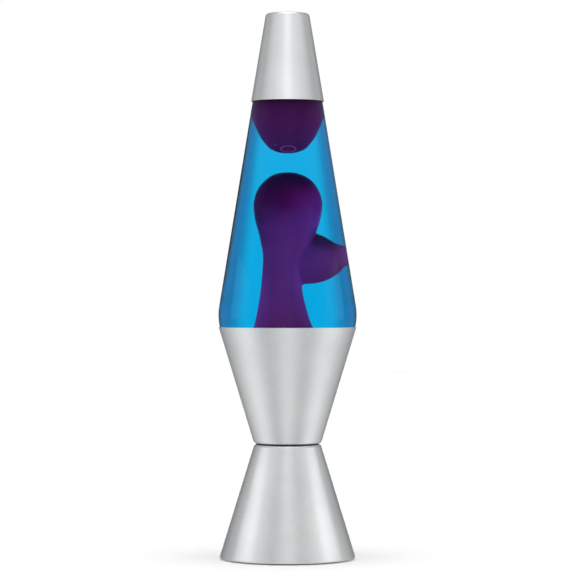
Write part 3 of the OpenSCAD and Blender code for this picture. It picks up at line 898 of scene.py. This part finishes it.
def melted(bm, voxel_mm, passes):
    """One smooth skin round a mesh's overlapping solids."""
    mesh = bpy.data.meshes.new("melt")
    bm.to_mesh(mesh)
    melt = bpy.data.objects.new("melt", mesh)
    bpy.context.scene.collection.objects.link(melt)
    remesh = melt.modifiers.new("remesh", "REMESH")
    remesh.mode = "VOXEL"
    remesh.voxel_size = voxel_mm * MM
    smooth = melt.modifiers.new("smooth", "SMOOTH")
    smooth.iterations = passes
    skin = bpy.data.meshes.new_from_object(melt.evaluated_get(bpy.context.evaluated_depsgraph_get()))
    bm.clear()
    bm.from_mesh(skin)
    bpy.data.meshes.remove(skin)
    bpy.data.objects.remove(melt)
    bpy.data.meshes.remove(mesh)
    return bm


def held_in(bm, gap_mm):
    """Presses a mesh's points in where they would come nearer than a gap to the bottle's inner wall."""
    for vert in bm.verts:
        height = vert.co.z / MM
        radii = []
        for a, b in zip(inner_wall, inner_wall[1:]):
            if min(a.y, b.y) <= height <= max(a.y, b.y):
                radii.append(a.x + (b.x - a.x) * (height - a.y) / ((b.y - a.y) or 1))
        most = max(radii) - gap_mm
        out = vert.co.xy.length / MM
        if out > most:
            vert.co.xy *= most / out
    return bm


# %% Rising column and its arm
COLUMN = [
    (-1.9, 0, 149.2, 25.0), (-2.1, 0, 152.0, 20.3), (-2.4, 0, 157.0, 16.0), (-2.75, 0, 165.0, 13.0),
    (-3.1, 0, 177.0, 10.9), (-2.9, 0, 189.0, 10.2), (-2.0, 0, 202.0, 10.6), (-1.3, 0, 211.0, 12.5),
    (-0.45, 0, 220.0, 14.9), (-0.15, 0, 228.0, 16.6), (0.05, 0, 237.3, 17.4), (0.05, 0, 244.8, 16.3),
    (0.0, 0, 251.3, 13.6), (-0.1, 0, 256.3, 9.3), (-0.1, 0, 258.8, 4.6), (-0.1, 0, 259.4, 0.6),
]
ARM = [
    (-4, 3, 200.0, 10.0), (3, 3, 200.6, 16.2), (11, 2.6, 201.1, 17.2), (17.5, 1.6, 201.4, 15.6),
    (23, 0.8, 202.0, 12.0), (28, 0, 203.0, 8.2), (33, 0, 203.6, 6.9), (41, 0, 203.7, 6.8),
]
ARM_DEPTH = 0.55
WAX_GAP = 0.4
VOXEL = 0.7
SMOOTHINGS = 6

column = bmesh.new()
lofted(column, COLUMN)
lofted(column, ARM, depth=ARM_DEPTH)
column = held_in(melted(column, VOXEL, SMOOTHINGS), WAX_GAP)
piece("rising_wax_column", column, rising_wax, "globe", "purple_wax", "wax_column")

# %% [markdown]
# The dome was the head of an earlier column. Where its neck pinched off, a small ring is left low on its
# front, as a low ridge, with a painted highlight that makes it paler and glow a little. A painted fleck of
# the same highlight sits beside it. Seen from the front the ring is a flat oval, because the dome's surface
# leans away there. The ridge is raised outwards and down, as that surface faces.

# %% Dome
DOME = [
    (0, 272.0), (4.2, 272.6), (8.7, 275.0), (11.7, 279.2), (13.9, 283.4), (15.9, 289.0), (17.6, 294.4),
    (18.8, 299.5), (19.3, 306.0), (18.4, 313.5), (15.0, 319.0), (8.0, 321.7), (0, 322.5),
]
SCAR = Vector((0.3, -8.6, 275.2))
SCAR_RADIUS = 4.0
# A fleck of painted highlight beside the ring.
HIGHLIGHT_FLECK = Vector((-6.7, -8.7, 278.2))
HIGHLIGHT_FLECK_RADIUS = 0.4
RIDGE = 0.35
RIDGE_WIDTH = 0.55
LEAST_LIFT = 0.01
RIDGE_DOWN = -0.012

dome = spun(flowing(DOME, between=10), steps=256)
for vert in dome.verts:
    size = ((vert.co / MM - SCAR) * Vector(SQUASH)).length
    lift = RIDGE * math.exp(-(((size - SCAR_RADIUS) / RIDGE_WIDTH) ** 2))
    if vert.co.y < 0 and lift > LEAST_LIFT:
        vert.co += Vector((vert.co.x, vert.co.y, RIDGE_DOWN)).normalized() * lift * MM
scar_and_highlight_wax = molten_wax("scar_highlight_paraffin_wax", glow_low=0.272, glow_high=0.306, most_glow=0.11,
                         one_sided=0.0,
                         rings=((SCAR, SCAR_RADIUS), (HIGHLIGHT_FLECK, HIGHLIGHT_FLECK_RADIUS)))
piece("gathered_wax_dome", held_in(dome, WAX_GAP), scar_and_highlight_wax, "globe", "purple_wax", "wax_dome")

# %% [markdown]
# ## The coil in the heel
# A close spring of stainless wire, bent into a ring, lies in the heel of the bottle. It spreads the heat,
# and breaks the skin of the sinking wax so that the blobs join again.

# %% Heating coil
coil_low, coil_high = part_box("heat_coil")
COIL_WIRE = 0.45
COIL_TURNS = 64
POINTS_A_TURN = 14
coil_radius = (coil_high.z - coil_low.z) / MM / 2 - COIL_WIRE
coil_ring = coil_high.x / MM - coil_radius - COIL_WIRE
coil_height = (coil_high.z + coil_low.z) / MM / 2

coil_points = []
for i in range(COIL_TURNS * POINTS_A_TURN):
    along = math.tau * i / (COIL_TURNS * POINTS_A_TURN)
    twist = along * COIL_TURNS
    out = coil_ring + coil_radius * math.cos(twist)
    up = coil_height + coil_radius * math.sin(twist)
    coil_points.append((out * math.cos(along), out * math.sin(along), up))
piece("spring_coil", drawn(coil_points, COIL_WIRE, closed=True), stainless_spring_wire, "globe",
      "spring_steel",
      "heat_coil")

# %% [markdown]
# ## The crown closure
# A steel crown with twenty-one flutes grips the lip. Each flute grows from nothing near the top edge to
# its full depth at the skirt's end, where the press squeezed it in.

# %% Crown
FLUTES = 21
FLUTE_DEPTH = 0.62
FLUTE_START = 0.8
FLUTE_RUN = 5.0
SKIRT_FROM = 12.5
STEPS_A_FLUTE = 16
PLATE = 0.3
crown_top = top("crown_cap")


def fluted(radius, height, angle):
    """The skirt's ripple, deeper towards its lower edge."""
    deep = min(max((crown_top - FLUTE_START - height) / FLUTE_RUN, 0), 1) if radius > SKIRT_FROM else 0
    return radius + FLUTE_DEPTH * deep * math.cos(FLUTES * angle)


crown_outline = rounded([
    (0, crown_top - 0.15), (9.0, crown_top - 0.15), (10.0, crown_top), (13.4, crown_top, 0.9),
    (13.9, crown_top - 3.0), (14.05, low("crown_cap")),
])
crown_mesh = spun(wall(crown_outline, -PLATE), FLUTES * STEPS_A_FLUTE, fluted)
piece("fluted_crown", crown_mesh, lacquered_tinplate, "globe", "tinplate", "crown_cap")

# %% [markdown]
# ## Screw threads
# The bulb's cap and the holder's shell are rolled from thin brass sheet, so both sides follow the
# thread's round wave. The wave climbs one pitch per turn. The bulb rises by just that much as it is
# unscrewed, so the pitch comes from the frame's coupling of its turn and its rise.

# %% Threads
PITCH = frame["record"]["behaviour"]["couplings"][0]["ratio"] * math.tau / MM
WAVE = 0.28
RINGS_A_TURN = 14
THREAD_STEPS = 96
HOLDER_RADIUS = 8.65
HOLDER_SHEET = 0.4


def threaded(radius, height, angle):
    """The radius with the rolled thread's wave, which climbs one pitch per turn."""
    return radius + WAVE * math.cos(angle - math.tau * height / PITCH)


def sleeve(z0, z1, radius, thickness):
    """A thin sleeve's outline, with enough rings for its thread."""
    rings = math.ceil((z1 - z0) / PITCH * RINGS_A_TURN)
    outer = [Vector((radius, z0 + (z1 - z0) * i / rings)) for i in range(rings + 1)]
    return outer + [Vector((p.x - thickness, p.y)) for p in reversed(outer)]


holder_outline = sleeve(low("socket_screw_shell"), top("socket_screw_shell"), HOLDER_RADIUS, HOLDER_SHEET)
holder_thread = spun(holder_outline, THREAD_STEPS, threaded)
piece("holder_thread", holder_thread, turned_brass, "base", "brass", "socket_screw_shell")

# %% [markdown]
# The bulb's cap narrows below its thread, and widens above it into a plain collar that grips the glass.

# %% Bulb cap
CAP_THREAD_RADIUS = 8.0
COLLAR_RADIUS = 8.28
TAPER = 0.9
THREAD_SHORT = 3.2
WAVE_FROM = 0.8
OUTER_WALL = 7.95
cap_low = low("bulb_screw_shell")
cap_high = top("bulb_screw_shell")
thread_end = cap_high - THREAD_SHORT

cap_outer = rounded([(7.0, cap_low), (7.4, cap_low + 0.5), (7.9, cap_low + TAPER)])
rings = math.ceil((thread_end - cap_low - TAPER) / PITCH * RINGS_A_TURN)
for i in range(1, rings + 1):
    up = cap_low + TAPER + (thread_end - cap_low - TAPER) * i / rings
    cap_outer.append(Vector((CAP_THREAD_RADIUS, up)))
cap_outer += rounded([
    (CAP_THREAD_RADIUS, cap_high - 2.9), (COLLAR_RADIUS, cap_high - 2.4, 0.3), (COLLAR_RADIUS, cap_high),
])
cap_inner = [
    (8.0, cap_high), (8.0, cap_high - 2.2), (7.3, cap_high - 2.8), (7.1, cap_low + TAPER), (6.9, cap_low),
]


def bulb_threaded(radius, height, angle):
    """The bulb cap's thread, on its outer wall only and between its plain ends."""
    if radius < OUTER_WALL or height < cap_low + WAVE_FROM or height > thread_end:
        return radius
    return threaded(radius, height, angle)


bulb_cap = spun(cap_outer + [Vector(p) for p in cap_inner], THREAD_STEPS, bulb_threaded)
piece("bulb_screw_cap", bulb_cap, rolled_brass, "bulb", "bulb_brass", "bulb_screw_shell")

# %% [markdown]
# ## Filament and wiring
# The filament is a fine tungsten coil between its two stiff wires. Its real wire is thinner than a hair,
# and it is drawn at 0.08 mm so that the coil can be seen. Two insulated leads drop from the holder
# through the nipple and turn towards the cord's inlet, each into its crimp.

# %% Filament and leads
span_low, span_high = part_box("bulb_filament")
filament_half = span_high.x / MM
filament_height = (span_low.z + span_high.z) / MM / 2
FILAMENT_TURNS = 46
FILAMENT_STEPS = FILAMENT_TURNS * 10
FILAMENT_COIL = 0.3
FILAMENT_WIRE = 0.08
SAG = 0.2
LEAD_RADIUS = 0.9
LEAD_BEND = 12

filament_points = []
for i in range(FILAMENT_STEPS + 1):
    share = i / FILAMENT_STEPS
    twist = math.tau * FILAMENT_TURNS * share
    x = -filament_half + 2 * filament_half * share
    sag = SAG * math.sin(math.pi * share)
    up = filament_height - sag + FILAMENT_COIL * math.sin(twist)
    filament_points.append((x, FILAMENT_COIL * math.cos(twist), up))
filament = drawn(filament_points, FILAMENT_WIRE)
piece("tungsten_filament", filament, tungsten_wire, "bulb", "tungsten", "bulb_filament")

crimp_height = (low("crimp_connectors") + top("crimp_connectors")) / 2
LEADS = (("live_lead", black_pvc, "black_wire"), ("neutral_lead", white_pvc, "white_wire"))
for node, material, slot in LEADS:
    lead_low, lead_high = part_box(node)
    lead_x = (lead_low.x + lead_high.x) / MM / 2
    route = rounded([(0, top(node)), (0, crimp_height, LEAD_BEND), (lead_high.y / MM, crimp_height)])
    insulated = drawn([(lead_x, p.x, p.y) for p in route], LEAD_RADIUS)
    piece(node.replace("lead", "wire"), insulated, material, "base", slot, node)
